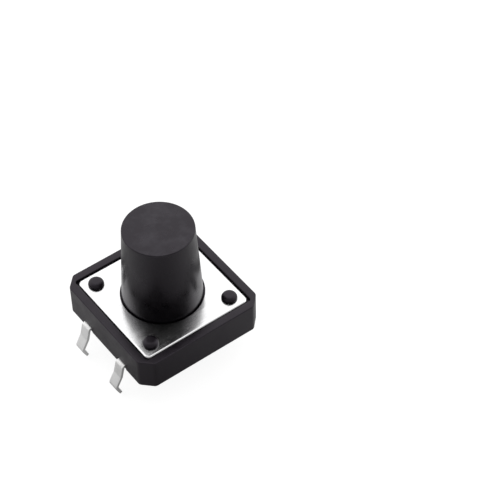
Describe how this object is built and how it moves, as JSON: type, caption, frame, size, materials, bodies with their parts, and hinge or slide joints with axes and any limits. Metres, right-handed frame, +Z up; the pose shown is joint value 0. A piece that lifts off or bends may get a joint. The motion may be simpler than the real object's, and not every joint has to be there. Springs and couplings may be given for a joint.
{
  "type": "momentary push button switch",
  "caption": "Square momentary push button switch for a circuit board, with a tall tapered round button, a steel cover plate and bent solder legs.",
  "frame": {"origin": "centre of the housing's seating face, which lies on the circuit board", "axes": "+Z up along the button, away from the board; the solder legs are on the -X and +X sides, and the common terminal is the one at +Y"},
  "size_m": [0.0142, 0.012, 0.0135],
  "materials": {
    "housing_plastic": "moulded, fine matt grain",
    "button_plastic": "moulded, satin",
    "plate_steel": "rolled, nickel plated",
    "dome_steel": "bright rolled",
    "terminal_metal": "bright silver or tin plated"
  },
  "bodies": {
    "base": {"housing": "housing_plastic", "cover_plate": "plate_steel", "snap_dome": "dome_steel", "common_terminal": "terminal_metal", "centre_terminal": "terminal_metal"},
    "plunger": {"button": "button_plastic"}
  },
  "joints": [
    {"name": "button_press", "type": "slide", "parent": "base", "child": "plunger", "axis": [0, 0, -1], "range_m": [0, 0.0003], "stiffness_N_per_m": 5300, "deforming": ["snap_dome"]}
  ]
}
